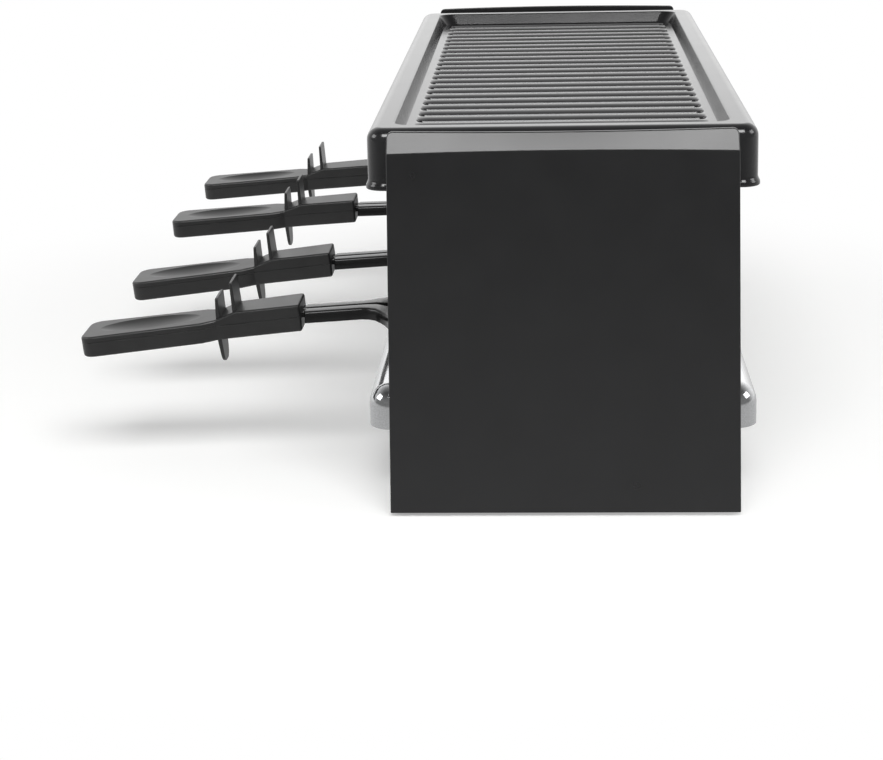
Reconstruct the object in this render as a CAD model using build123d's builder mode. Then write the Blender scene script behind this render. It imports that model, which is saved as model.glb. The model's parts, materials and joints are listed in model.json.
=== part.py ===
# Raclette grill for four pans in a row, millimetres, +Z up.
# X runs along the grill, the pans pull out towards -Y, z = 0 is the table.
import os
from math import cos, radians, sin, tan

from build123d import *

os.makedirs("parts", exist_ok=True)

# overall
body_length = 434.0        # over the two end casings
casing_depth = 21.0
casing_top_width = 137.0
casing_foot_width = 141.0
casing_wall = 2.0
foot_height = 1.5
face_height = 149.0        # top edge of the end face
ridge_height = 157.2
ridge_set_back = 4.5
ridge_width = 2.0
step_height = 129.5        # casing shoulder under the plate skirt

# sheet body
sheet = 1.2
deck_half_width = 79.3
deck_top = 47.0
deck_drop = 16.0
wall_y = 66.0              # outer face of the front rail and the back wall
rail_bottom = 111.0

# grill plate
plate_lap = 4.0             # plate end over the end casing
plate_width = 157.5
plate_top = 155.8
plate_skirt = 24.8
plate_wall = 3.5
plate_floor = 5.5
recess_depth = 5.5
rim_width = 11.1
groove_pitch = 15.2
groove_radius = 3.0
groove_reach = 57.3

# pans, one nose-up tilt and one push-in depth for each
pan_spacing = 6.5          # between neighbours
bay_end_room = 1.8         # outer pans and spacing to the bulkhead
pan_front = -72.0
pan_back = 30.0
pan_depth = 22.2
pan_sheet = 1.2
pan_tilt = (0.0, 0.0, 2.2, 2.2)
pan_push_in = (0.0, 3.2, 5.0, 6.1)
pan_wall_angle = 9.0
pan_corner = 4.0
rim_flange = 5.0
rim_lap = 0.2
stem_width = 14.6
stem_flange = 5.0
stem_root_y = -80.0
stem_root_z = 70.0
stem_droop = 3.6

# handles, lengths measured back from the tip
sleeve_end = -112.0
handle_droop = 6.4
handle_length = 96.1
paddle_length = 58.6
ramp_length = 9.4
paddle_tip_width = 28.6
paddle_root_width = 25.4
waist_width = 19.4
sleeve_width = 22.0
paddle_thick = 9.0
sleeve_thick = 11.7
sleeve_below = 6.9         # sleeve under the middle of the stem sheet
fin_thick = 2.0
fin_width = 17.0

# heating element
tube_diameter = 6.5
tube_z = 117.0
tube_runs = (-50.0, -25.0, 0.0, 25.0)
tube_end_room = 18.8        # bends short of the bulkhead
hanger_end_room = 104.8
pin_diameter = 3.0

# fits
slip = 0.05                # screws and pegs in their holes
pan_gap = 0.3              # deepest pan to the heat shield, its stop

half_length = body_length / 2
head_x = half_length - casing_depth          # casing edge and bulkhead outer face
inner_x = head_x - sheet                     # bulkhead inner face
plate_length = 2 * (head_x + plate_lap)
groove_count = int((plate_length - 2 * rim_width - 2 * groove_radius) / groove_pitch)
pan_pitch = (inner_x - bay_end_room) / 2
pan_width = pan_pitch - pan_spacing
tube_bend_x = inner_x - tube_end_room
hanger_x = inner_x - hanger_end_room
plate_under = plate_top - recess_depth - plate_floor
casing_bottom = foot_height
pan_rim_top = deck_top + pan_depth
heel_y = (pan_back - rim_flange - (pan_depth - rim_lap) * tan(radians(pan_wall_angle))
          - pan_corner * tan(radians((90 - pan_wall_angle) / 2)))
heel_lift = 0.02           # tilted pans clear of the deck
kink_z = stem_root_z + (sleeve_end - stem_root_y) * tan(radians(stem_droop))


def tilt_point(index, y, z):
    """Where a point of pan number index comes to once it is tilted on its heel and pushed in."""
    a = radians(pan_tilt[index])
    y, z = y - heel_y, z - deck_top
    return (heel_y + y * cos(a) + z * sin(a) + pan_push_in[index], deck_top + z * cos(a) - y * sin(a))


shield_y = max(tilt_point(index, pan_back, pan_rim_top)[0] for index in range(4)) + pan_gap
gland_reach = 6.0          # cable gland beyond the left end face

# the origin is under the middle of the whole outline, handles and gland included
tip_top = paddle_thick - sleeve_below
tip_y = sleeve_end - handle_length * cos(radians(handle_droop)) - tip_top * sin(radians(handle_droop))
tip_z = kink_z - handle_length * sin(radians(handle_droop)) + tip_top * cos(radians(handle_droop))
reaches = [tilt_point(index, tip_y, tip_z)[0] for index in range(4)]
frame_shift = Pos(gland_reach / 2, -(deck_half_width + min(reaches)) / 2, 0)


def half_width_at(z):
    """Half width of the flared end casing at height z."""
    share = (z - casing_bottom) / (face_height - casing_bottom)
    return casing_foot_width / 2 - share * (casing_foot_width - casing_top_width) / 2


def save_part(part, name):
    placed = part.moved(frame_shift)
    placed.label = name
    export_step(placed, f"parts/{name}.step")


def save(builder, name):
    save_part(builder.part, name)


# end casings: moulded covers with a sloping top, open towards the grill
boss_spots = [(-58.0, 14.0), (58.0, 14.0), (-58.0, 98.0), (58.0, 98.0)]
boss_diameter = 9.0
screw_diameter = 3.0
switch_y, switch_z = -28.0, 84.0
switch_w, switch_h = 13.0, 19.0
lamp_y, lamp_z = -28.0, 108.0
lamp_diameter = 6.0
gland_y, gland_z = 38.0, 24.0
gland_diameter = 10.0
foot_y = 52.0
foot_x = head_x + 9.5
foot_peg = 5.0


def casing_outline(top, crown, inset=0.0):
    """Closed outline of the casing in the YZ plane, its top edge bowed by crown."""
    low = half_width_at(casing_bottom) - inset
    high = half_width_at(top) - inset
    Line((-low, casing_bottom + inset), (low, casing_bottom + inset))
    Line((low, casing_bottom + inset), (high, top))
    ThreePointArc((high, top), (0, top + crown), (-high, top))
    Line((-high, top), (-low, casing_bottom + inset))


def make_casing(side, cutouts):
    with BuildPart() as casing:
        with BuildSketch(Plane.YZ.offset(half_length)):
            with BuildLine():
                casing_outline(face_height, 1.0)
            make_face()
        with BuildSketch(Plane.YZ.offset(half_length - ridge_set_back)):
            with BuildLine():
                casing_outline(ridge_height, -0.7)
            make_face()
        loft()
        with BuildSketch(Plane.YZ.offset(half_length - ridge_set_back)):
            with BuildLine():
                casing_outline(ridge_height, -0.7)
            make_face()
        extrude(amount=-ridge_width)
        with BuildSketch(Plane.YZ.offset(head_x)):
            with BuildLine():
                casing_outline(step_height, 0.001)
            make_face()
        extrude(amount=casing_depth - ridge_set_back - ridge_width)
        with BuildSketch(Plane.YZ.offset(head_x)):
            with BuildLine():
                casing_outline(step_height - casing_wall, 0.001, casing_wall)
            make_face()
        extrude(amount=casing_depth - casing_wall, mode=Mode.SUBTRACT)
        ridge_back = half_length - ridge_set_back - ridge_width
        with BuildSketch(Plane.YZ.offset(ridge_back + casing_wall)):
            with Locations((0, (step_height - 6 + face_height - 3) / 2)):
                Rectangle(casing_top_width - 2 * casing_wall - 1, face_height - step_height + 3)
        extrude(amount=half_length - casing_wall - ridge_back - casing_wall, mode=Mode.SUBTRACT)
        with BuildSketch(Plane.YZ.offset(head_x)):
            with Locations(*boss_spots):
                Circle(boss_diameter / 2)
        extrude(amount=casing_depth - casing_wall)
        with BuildSketch(Plane.YZ.offset(head_x)):
            with Locations(*boss_spots):
                Circle(screw_diameter / 2 + slip)
        extrude(amount=12.0, mode=Mode.SUBTRACT)
        with BuildSketch(Plane.XY.offset(casing_bottom)):
            with Locations((foot_x, -foot_y), (foot_x, foot_y)):
                Circle(foot_peg / 2)
        extrude(amount=casing_wall, mode=Mode.SUBTRACT)
        if cutouts:
            outer = Plane.YZ.offset(half_length)
            with BuildSketch(outer):
                with Locations((switch_y, switch_z)):
                    Rectangle(switch_w, switch_h)
                with Locations((lamp_y, lamp_z)):
                    Circle(lamp_diameter / 2)
                with Locations((gland_y, gland_z)):
                    Circle(gland_diameter / 2)
            extrude(amount=-casing_wall, mode=Mode.SUBTRACT)
    if side < 0:
        return mirror(casing.part, about=Plane.YZ)
    return casing.part


save_part(make_casing(1, False), "end_casing_right")
save_part(make_casing(-1, True), "end_casing_left")


# rubber feet pegged into the casing floors
with BuildPart() as foot:
    with BuildSketch(Plane.XY):
        Circle(7.0)
    extrude(amount=foot_height)
    with BuildSketch(Plane.XY.offset(foot_height)):
        Circle(foot_peg / 2)
    extrude(amount=casing_wall)
    with BuildSketch(Plane.XY.offset(foot_height + casing_wall)):
        Circle(foot_peg / 2 + 1.0)
    extrude(amount=1.5)
foot_number = 1
for x in (foot_x, -foot_x):
    for y in (-foot_y, foot_y):
        save_part(Pos(x, y, 0) * foot.part, f"foot_{foot_number}")
        foot_number += 1


# bulkheads: sheet end walls that close the casings and carry the plate
bush_diameter = 11.0
tube_holes = [(tube_runs[0], tube_z), (tube_runs[-1], tube_z)]
deck_screws = [(-45.0, deck_top - 8.0), (45.0, deck_top - 8.0)]
rail_y, rail_z, rail_size = 44.0, 14.0, 12.0


def make_bulkhead(side):
    with BuildPart() as head:
        with BuildSketch(Plane.YZ.offset(inner_x)):
            with BuildLine():
                casing_outline(step_height - 0.5, 0.001, 0.5)
            make_face()
            with Locations((0, (step_height + plate_under) / 2 - 2)):
                Rectangle(2 * wall_y, plate_under - step_height + 4)
        extrude(amount=sheet)
        with BuildSketch(Plane.XZ.offset(-(wall_y - sheet))):
            with Locations((inner_x - 5.0, plate_under - sheet / 2)):
                Rectangle(10.0, sheet)
        extrude(amount=2 * (wall_y - sheet))
        with BuildSketch(Plane.YZ.offset(inner_x)):
            with Locations(*boss_spots):
                Circle(screw_diameter / 2 + slip)
            with Locations(*deck_screws):
                Circle(screw_diameter / 2 + slip)
            if side < 0:
                with Locations(*tube_holes):
                    Circle(bush_diameter / 2)
        extrude(amount=sheet, mode=Mode.SUBTRACT)
    if side < 0:
        return mirror(head.part, about=Plane.YZ)
    return head.part


save_part(make_bulkhead(1), "bulkhead_right")
save_part(make_bulkhead(-1), "bulkhead_left")


# pan deck: drawn polished sheet with its long edges rolled down past the casings
with BuildPart() as deck:
    with BuildSketch(Plane.XY.offset(deck_top - deck_drop)):
        RectangleRounded(2 * inner_x, 2 * deck_half_width, 8.0)
    extrude(amount=deck_drop)
    fillet(deck.edges().group_by(Axis.Z)[-1], radius=6.0)
    with BuildSketch(Plane.XY.offset(deck_top - deck_drop)):
        RectangleRounded(2 * (inner_x - 1.0), 2 * (deck_half_width - 1.0), 7.0)
    hollow = extrude(amount=deck_drop - 1.0, mode=Mode.PRIVATE)
    add(hollow.fillet(5.0, hollow.edges().group_by(Axis.Z)[-1]), mode=Mode.SUBTRACT)
    with BuildSketch(Plane.YZ.offset(-inner_x)):
        with Locations(*deck_screws):
            Circle(screw_diameter / 2 + slip)
    extrude(amount=2 * inner_x, mode=Mode.SUBTRACT)
save(deck, "pan_deck")


# base rails: square tubes that tie the bulkheads together under the deck
for sign, end in ((-1, "front"), (1, "back")):
    with BuildPart() as rail:
        with BuildSketch(Plane.YZ.offset(-inner_x)):
            with Locations((sign * rail_y, rail_z)):
                Rectangle(rail_size, rail_size)
                Rectangle(rail_size - 2 * sheet, rail_size - 2 * sheet, mode=Mode.SUBTRACT)
        extrude(amount=2 * inner_x)
    save(rail, f"base_rail_{end}")


# front rail, back wall and heat shield stand between the bulkheads
def make_wall(y_outer, direction, bottom, top, flange):
    """Upright sheet with a flange turned in along its top edge."""
    mid = y_outer + direction * sheet / 2
    with BuildPart() as wall:
        with BuildSketch(Plane.XY.offset(bottom)):
            with Locations((0, mid)):
                Rectangle(2 * inner_x, sheet)
        extrude(amount=top - bottom)
        with BuildSketch(Plane.XY.offset(top - sheet)):
            with Locations((0, y_outer + direction * flange / 2)):
                Rectangle(2 * (inner_x - 10.0), flange)
        extrude(amount=sheet)
    return wall.part


save_part(make_wall(-wall_y, 1, rail_bottom, plate_under, 8.0), "front_rail")
save_part(make_wall(wall_y, -1, deck_top, plate_under, 8.0), "back_wall")
save_part(make_wall(shield_y, 1, deck_top, plate_under - sheet, 6.0), "heat_shield")


# grill plate: cast tray turned over, ribbed field sunk inside a raised rim
with BuildPart() as groove:
    with BuildSketch(Plane.XY):
        with BuildLine():
            Polyline((0, -groove_reach), (groove_radius, -groove_reach + 9),
                     (groove_radius, groove_reach - 9), (0, groove_reach), close=True)
        make_face()
    revolve(axis=Axis.Y)
with BuildPart() as plate:
    with BuildSketch(Plane.XY.offset(plate_top - plate_skirt)):
        RectangleRounded(plate_length, plate_width, 11.0)
    extrude(amount=plate_skirt)
    fillet(plate.edges().group_by(Axis.Z)[-1], radius=6.0)
    with BuildSketch(Plane.XY.offset(plate_top - plate_skirt)):
        RectangleRounded(plate_length - 2 * plate_wall, plate_width - 2 * plate_wall, 7.5)
    extrude(amount=plate_under - (plate_top - plate_skirt), mode=Mode.SUBTRACT)
    with BuildSketch(Plane.XY.offset(plate_top)):
        RectangleRounded(plate_length - 2 * rim_width, plate_width - 2 * rim_width, 8.0)
    extrude(amount=-recess_depth, taper=30, mode=Mode.SUBTRACT)
    with Locations(Pos(0, 0, plate_top - recess_depth)):
        with GridLocations(groove_pitch, 0, groove_count, 1):
            add(groove.part, mode=Mode.SUBTRACT)
save(plate, "grill_plate")


# tubular heating element, four runs, both cold pins at the left end
pin_x = -(head_x + 8.0)
with BuildPart() as element:
    with BuildLine(Plane.XY.offset(tube_z)) as route:
        bend = (tube_runs[1] - tube_runs[0]) / 2
        Line((pin_x, tube_runs[0]), (tube_bend_x, tube_runs[0]))
        ThreePointArc((tube_bend_x, tube_runs[0]), (tube_bend_x + bend, tube_runs[0] + bend),
                      (tube_bend_x, tube_runs[1]))
        Line((tube_bend_x, tube_runs[1]), (-tube_bend_x, tube_runs[1]))
        ThreePointArc((-tube_bend_x, tube_runs[1]), (-tube_bend_x - bend, tube_runs[1] + bend),
                      (-tube_bend_x, tube_runs[2]))
        Line((-tube_bend_x, tube_runs[2]), (tube_bend_x, tube_runs[2]))
        ThreePointArc((tube_bend_x, tube_runs[2]), (tube_bend_x + bend, tube_runs[2] + bend),
                      (tube_bend_x, tube_runs[3]))
        Line((tube_bend_x, tube_runs[3]), (pin_x, tube_runs[3]))
    with BuildSketch(Plane(origin=route.line @ 0, z_dir=route.line % 0)):
        Circle(tube_diameter / 2)
    sweep(path=route.line)
    with BuildSketch(Plane.YZ.offset(pin_x)):
        with Locations(*tube_holes):
            Circle(pin_diameter / 2)
    extrude(amount=-5.0)
save(element, "heating_element")

# hangers under the element, seated between the front rail and the heat shield
for number, x in ((1, hanger_x), (2, -hanger_x)):
    with BuildPart() as hanger:
        strap_top = tube_z - tube_diameter / 2
        front, back = -(wall_y - sheet), shield_y
        with BuildSketch(Plane.YZ.offset(x - 5.0)):
            with BuildLine():
                Polyline((front, strap_top + 7), (front, strap_top - 1), (back, strap_top - 1),
                         (back, strap_top + 7), (back - 1, strap_top + 7), (back - 1, strap_top),
                         (front + 1, strap_top), (front + 1, strap_top + 7), close=True)
            make_face()
        extrude(amount=10.0)
    save(hanger, f"element_hanger_{number}")

# insulating bushes where the element leaves through the left bulkhead
for end, y in (("front", tube_runs[0]), ("back", tube_runs[-1])):
    with BuildPart() as bush:
        with BuildSketch(Plane.YZ.offset(-head_x)):
            with Locations((y, tube_z)):
                Circle(bush_diameter / 2)
                Circle(tube_diameter / 2 + slip, mode=Mode.SUBTRACT)
        extrude(amount=sheet)
        with BuildSketch(Plane.YZ.offset(-head_x)):
            with Locations((y, tube_z)):
                Circle(bush_diameter / 2 + 2)
                Circle(tube_diameter / 2 + slip, mode=Mode.SUBTRACT)
        extrude(amount=-4.0)
    save(bush, f"element_bush_{end}")


# one pan: drawn dish with a rim, and a channel stem that flares out of its front edge
tang_length = 28.0
screw_back = 14.0          # handle screw, measured from the sleeve end
stem_run = (stem_root_y - sleeve_end) / cos(radians(stem_droop))
handle_frame = Pos(0, sleeve_end, kink_z) * Rot(handle_droop, 0, 0)


def along_stem(y, z):
    a = radians(stem_droop)
    return (stem_root_y + y * cos(a) - z * sin(a), stem_root_z + y * sin(a) + z * cos(a))


def along_handle(y, z):
    a = radians(handle_droop)
    return (sleeve_end + y * cos(a) - z * sin(a), kink_z + y * sin(a) + z * cos(a))


def stem_band(depth, half=40.0):
    """Side view of stem and tang, depth mm deep below their upper face."""
    up = pan_sheet / 2
    with BuildPart(mode=Mode.PRIVATE) as band:
        with BuildSketch(Plane.YZ.offset(-half)):
            with BuildLine():
                Polyline(along_handle(-tang_length, up), along_stem(-stem_run, up), along_stem(0, up),
                         (pan_front + 1.0, pan_rim_top), (pan_front + 1.0, pan_rim_top - depth),
                         along_stem(0.4, up - depth), along_stem(-stem_run, up - depth),
                         along_handle(-tang_length, up - depth), close=True)
            make_face()
        extrude(amount=2 * half)
    return band.part


def make_pan():
    rim_mid = (pan_front + pan_back) / 2
    rim_length = pan_back - pan_front
    with BuildPart() as pan:
        with BuildSketch(Plane.XY.offset(pan_rim_top)):
            with Locations((0, rim_mid)):
                RectangleRounded(pan_width, rim_length, 12.0)
        extrude(amount=-pan_sheet)
        with BuildSketch(Plane.XY.offset(pan_rim_top - rim_lap)):
            with Locations((0, rim_mid)):
                RectangleRounded(pan_width - 2 * rim_flange, rim_length - 2 * rim_flange, 9.0)
        outer = extrude(amount=-(pan_depth - rim_lap), taper=pan_wall_angle, mode=Mode.PRIVATE)
        add(outer.fillet(pan_corner, outer.edges().group_by(Axis.Z)[0]))
        with BuildSketch(Plane.XY.offset(pan_rim_top)):
            with Locations((0, rim_mid)):
                RectangleRounded(pan_width - 2 * rim_flange - 2 * pan_sheet,
                                 rim_length - 2 * rim_flange - 2 * pan_sheet, 8.0)
        inner = extrude(amount=-(pan_depth - pan_sheet), taper=pan_wall_angle, mode=Mode.PRIVATE)
        add(inner.fillet(pan_corner - pan_sheet, inner.edges().group_by(Axis.Z)[0]), mode=Mode.SUBTRACT)
        # stem outline from above, flaring from the channel to the rim
        w = stem_width / 2
        stem_end = sleeve_end + 1.6
        flare_start = pan_front - 14.0
        flare_half = w + 17.0
        with BuildSketch(Plane.XY.offset(40.0)) as outline:
            with BuildLine():
                for s in (-1, 1):
                    Line((s * w, stem_end), (s * w, flare_start))
                    ThreePointArc((s * w, flare_start), (s * (w + 6.0), pan_front - 5.5),
                                  (s * flare_half, pan_front - 0.8))
                    Line((s * flare_half, pan_front - 0.8), (s * flare_half, pan_front + 0.8))
                Line((-w, stem_end), (w, stem_end))
                Line((-flare_half, pan_front + 0.8), (flare_half, pan_front + 0.8))
            make_face()
        plan = extrude(amount=50.0, mode=Mode.PRIVATE)
        with BuildSketch(Plane.XY.offset(40.0)):
            add(outline.sketch)
            offset(outline.sketch, amount=-pan_sheet, mode=Mode.SUBTRACT)
        walls = extrude(amount=50.0, mode=Mode.PRIVATE)
        outside = Pos(0, pan_front - 51.2, 60) * Box(100, 100, 100, mode=Mode.PRIVATE)
        add(plan & stem_band(pan_sheet))
        add(walls & stem_band(stem_flange) & outside)
        # flat tang inside the handle
        with BuildSketch(Plane.XY.offset(40.0)):
            with Locations((0, sleeve_end - tang_length / 2 + 1)):
                Rectangle(stem_width - 4, tang_length + 3)
        tang = extrude(amount=50.0, mode=Mode.PRIVATE)
        add(tang & stem_band(pan_sheet))
        drill = Cylinder(screw_diameter / 2 + slip, 6, mode=Mode.PRIVATE)
        add(handle_frame * Pos(0, -screw_back, 0) * drill, mode=Mode.SUBTRACT)
    return pan.part


def handle_blank():
    """Whole handle in its own frame, tip towards -Y, its parting plane at z = 0."""
    tip = -handle_length
    low = -sleeve_below
    high = low + sleeve_thick
    paddle = low + paddle_thick
    ramp = tip + paddle_length
    reach = paddle_tip_width
    with BuildPart(mode=Mode.PRIVATE) as blank:
        with BuildSketch(Plane.YZ.offset(-reach)):
            with BuildLine():
                Polyline((tip, low), (-1.5, low), (0, low + 1.5), (0, high - 1.0), (-1.0, high),
                         (ramp + ramp_length, high), (ramp, paddle), (tip, paddle), close=True)
            make_face()
        extrude(amount=2 * reach)
        with BuildSketch(Plane.XY.offset(-reach)) as plan:
            with BuildLine():
                right = [(paddle_tip_width / 2, tip), (paddle_root_width / 2, ramp - 6.0),
                         (waist_width / 2, ramp + 1.0), (waist_width / 2, ramp + ramp_length),
                         (sleeve_width / 2, 0)]
                left = [(-x, y) for x, y in reversed(right)]
                Polyline(*right, *left, close=True)
            make_face()
            fillet(plan.vertices().group_by(Axis.Y)[0], radius=6.0)
        extrude(amount=2 * reach, mode=Mode.INTERSECT)
        # two fins on top, one below, all across the handle
        for y, top in ((ramp, paddle + 11.3), (ramp + 7.8, high + 13.0)):
            half = fin_width / 2
            with BuildSketch(Plane.XZ.offset(-(y + fin_thick))):
                with BuildLine():
                    Polyline((-half, 0), (half, 0), (half - 1.2, top - 1.5), (half - 3.5, top),
                             (-half + 3.5, top), (-half + 1.2, top - 1.5), close=True)
                make_face()
            extrude(amount=fin_thick)
        with BuildSketch(Plane.YZ.offset(-fin_width / 2 + 1.5)):
            with BuildLine():
                Polyline((ramp - 2.0, low + 0.5), (ramp + 3.4, low + 0.5), (ramp + 2.8, low - 5.6),
                         (ramp + 1.1, low - 9.6), (ramp + 0.2, low - 9.6), (ramp - 1.4, low - 5.6), close=True)
            make_face()
        extrude(amount=fin_width - 3.0)
    return blank.part


def make_handle(upper):
    tip = -handle_length
    low = -sleeve_below
    part_z = -pan_sheet / 2
    with BuildPart() as shell:
        add(handle_blank())
        depth = 60.0
        side = part_z + depth / 2 if not upper else part_z - depth / 2
        with Locations((0, tip / 2, side)):
            Box(80, handle_length + 40, depth, mode=Mode.SUBTRACT)
        if upper:
            # pocket for the tang, finger recess, screw hole
            with BuildSketch(Plane.XY.offset(part_z)):
                with Locations((0, -tang_length / 2)):
                    Rectangle(stem_width - 4 + 2 * slip, tang_length + 4)
            extrude(amount=pan_sheet, mode=Mode.SUBTRACT)
            with BuildSketch(Plane.XY.offset(low + paddle_thick)):
                with Locations((0, tip + paddle_length / 2 - 1)):
                    SlotOverall(paddle_length - 10, paddle_root_width - 8, rotation=90)
            extrude(amount=-1.5, taper=45, mode=Mode.SUBTRACT)
            with BuildSketch(Plane.XY.offset(part_z)):
                with Locations((0, -screw_back)):
                    Circle(screw_diameter / 2 + slip)
            extrude(amount=pan_sheet + 3.0, mode=Mode.SUBTRACT)
        else:
            with BuildSketch(Plane.XY.offset(low)):
                with Locations((0, -screw_back)):
                    Circle(screw_diameter / 2 + slip)
            extrude(amount=sleeve_thick, mode=Mode.SUBTRACT)
            with BuildSketch(Plane.XY.offset(low)):
                with Locations((0, -screw_back)):
                    Circle(3.2)
            extrude(amount=2.0, mode=Mode.SUBTRACT)
    return shell.part


def make_screw(head, head_height, length):
    """Pan head screw pointing up +Z from its head's underside at z = 0."""
    with BuildPart() as screw:
        with BuildSketch(Plane.XY.offset(-head_height)):
            Circle(head)
        extrude(amount=head_height)
        with BuildSketch(Plane.XY):
            Circle(screw_diameter / 2)
        extrude(amount=length)
        with BuildSketch(Plane.XY.offset(-head_height)):
            Rectangle(3.2, 0.7)
            Rectangle(0.7, 3.2)
        extrude(amount=0.8, mode=Mode.SUBTRACT)
    return screw.part


handle_screw = make_screw(3.0, 1.8, sleeve_below - 2.0 + 3.0)
for index in range(4):
    lift = heel_lift if pan_tilt[index] else 0
    heel = Pos(0, heel_y, deck_top)
    place = Pos(pan_pitch * (1.5 - index), pan_push_in[index], lift) * heel * Rot(-pan_tilt[index], 0, 0)
    place = place * Pos(0, -heel_y, -deck_top)
    turn = place * handle_frame
    save_part(place * make_pan(), f"pan_{index + 1}")
    save_part(turn * make_handle(True), f"handle_top_{index + 1}")
    save_part(turn * make_handle(False), f"handle_base_{index + 1}")
    seat = Pos(0, -screw_back, -sleeve_below + 2.0)
    save_part(turn * seat * handle_screw, f"handle_screw_{index + 1}")


# screw groups: bulkheads to the casing bosses, and deck to the bulkheads
casing_screw = make_screw(3.0, 1.8, sheet + 9.0)
deck_screw = make_screw(3.0, 1.8, sheet + 4.0)


def screw_group(screw, x, direction, spots):
    """Copies of a screw with the head's underside at x, pointing along X."""
    turn = Rot(0, 90 * direction, 0)
    with BuildPart() as group:
        for y, z in spots:
            add(Pos(x, y, z) * turn * screw)
    return group.part


for sign, end in ((1, "right"), (-1, "left")):
    save_part(screw_group(casing_screw, sign * inner_x, sign, boss_spots), f"casing_screws_{end}")
    save_part(screw_group(deck_screw, sign * head_x, -sign, deck_screws), f"deck_screws_{end}")


# switch, lamp and cable gland in the left end casing
face_x = -half_length
wall_x = face_x + casing_wall
switch_depth = 13.0
switch_wall = 1.0
switch_bezel = 1.2
blade = 5.0
rocker_x = face_x + 1.6
rocker_half = 7.4
rocker_rise = 3.0
rocker_tilt = 7.0
pin_radius = 1.0
box_w, box_h = switch_w - 2 * slip, switch_h - 2 * slip
with BuildPart() as housing:
    with BuildSketch(Plane.YZ.offset(face_x - switch_bezel)):
        with Locations((switch_y, switch_z)):
            Rectangle(switch_w + 2.4, switch_h + 2.4)
    extrude(amount=switch_bezel)
    with BuildSketch(Plane.YZ.offset(face_x)):
        with Locations((switch_y, switch_z)):
            Rectangle(box_w, box_h)
    extrude(amount=switch_depth)
    with BuildSketch(Plane.YZ.offset(face_x - switch_bezel)):
        with Locations((switch_y, switch_z)):
            Rectangle(box_w - 2 * switch_wall, box_h - 2 * switch_wall)
    extrude(amount=switch_bezel + switch_depth - 1.5, mode=Mode.SUBTRACT)
    with BuildSketch(Plane.XZ.offset(-(switch_y + box_w / 2))):
        with Locations((rocker_x, switch_z)):
            Circle(pin_radius + slip)
    extrude(amount=box_w, mode=Mode.SUBTRACT)
    with BuildSketch(Plane.XY.offset(switch_z - box_h / 2 - blade)):
        with Locations((face_x + 9.0, switch_y)):
            Rectangle(0.8, 4.0)
    extrude(amount=blade)
    with BuildSketch(Plane.XY.offset(switch_z + box_h / 2)):
        with Locations((face_x + 9.0, switch_y)):
            Rectangle(0.8, 4.0)
    extrude(amount=blade)
save(housing, "switch_housing")

rocker_w = box_w - 2 * switch_wall - 0.6
with BuildPart() as rocker:
    with BuildSketch(Plane.XZ.offset(rocker_w / 2)):
        with BuildLine():
            Polyline((-rocker_rise, -rocker_half), (-1.6, 0), (-rocker_rise, rocker_half), (2.0, 5.0),
                     (3.5, 0), (2.0, -5.0), close=True)
        make_face()
    extrude(amount=-rocker_w)
    with BuildSketch(Plane.XZ.offset(rocker_w / 2 + 1.0)):
        Circle(pin_radius)
    extrude(amount=-(rocker_w + 2.0))
save_part(Pos(rocker_x, switch_y, switch_z) * Rot(0, rocker_tilt, 0) * rocker.part, "switch_rocker")

with BuildPart() as lamp:
    with BuildSketch(Plane.YZ.offset(face_x)):
        with Locations((lamp_y, lamp_z)):
            Circle(lamp_diameter / 2 - slip)
    extrude(amount=11.0)
    with BuildSketch(Plane.YZ.offset(face_x - 1.2)):
        with Locations((lamp_y, lamp_z)):
            Circle(lamp_diameter / 2 + 1)
    extrude(amount=1.2)
save(lamp, "pilot_lamp")

gland_bore = 6.5
with BuildPart() as gland:
    with BuildSketch(Plane.YZ.offset(face_x - gland_reach)):
        with Locations((gland_y, gland_z)):
            Circle(gland_diameter / 2 + 1.5)
    extrude(amount=gland_reach - 2.0)
    with BuildSketch(Plane.YZ.offset(face_x - 2.0)):
        with Locations((gland_y, gland_z)):
            RegularPolygon(gland_diameter / 2 + 3.0, 6)
    extrude(amount=2.0)
    with BuildSketch(Plane.YZ.offset(face_x)):
        with Locations((gland_y, gland_z)):
            Circle(gland_diameter / 2 - slip)
    extrude(amount=casing_wall + 5.0)
    with BuildSketch(Plane.YZ.offset(face_x - gland_reach)):
        with Locations((gland_y, gland_z)):
            Circle(gland_bore / 2)
    extrude(amount=gland_reach + casing_wall + 5.0, mode=Mode.SUBTRACT)
save(gland, "cable_gland")

with BuildPart() as nut:
    with BuildSketch(Plane.YZ.offset(wall_x)):
        with Locations((gland_y, gland_z)):
            RegularPolygon(gland_diameter / 2 + 3.0, 6)
            Circle(gland_diameter / 2, mode=Mode.SUBTRACT)
    extrude(amount=3.0)
save(nut, "gland_nut")


# terminal block, cut-out and leads behind the left bulkhead
head_face = -head_x
block_y, block_z = 10.0, 46.0
block_holes = 8.0
block_x = head_face - 5.0
lead_diameter = 2.0
with BuildPart() as block:
    with BuildSketch(Plane.YZ.offset(head_face)):
        with Locations((block_y, block_z)):
            Rectangle(3 * block_holes, 12.0)
    extrude(amount=-10.0)
    with BuildSketch(Plane.XY.offset(block_z - 6.0)):
        with Locations((block_x, block_y)):
            with GridLocations(0, block_holes, 1, 3):
                Circle(lead_diameter / 2 + slip)
    extrude(amount=12.0, mode=Mode.SUBTRACT)
save(block, "terminal_block")

cutout_y, cutout_z = -8.0, 90.0
cutout_blades = 4.0
cutout_face = head_face - 6.0
with BuildPart() as cutout:
    with BuildSketch(Plane.YZ.offset(head_face)):
        with Locations((cutout_y, cutout_z)):
            Circle(7.0)
    extrude(amount=-6.0)
    with BuildSketch(Plane.YZ.offset(cutout_face)):
        with Locations((cutout_y, cutout_z)):
            with GridLocations(2 * cutout_blades, 0, 2, 1):
                Rectangle(4.0, 0.8)
    extrude(amount=-blade)
save(cutout, "thermal_cutout")

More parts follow.
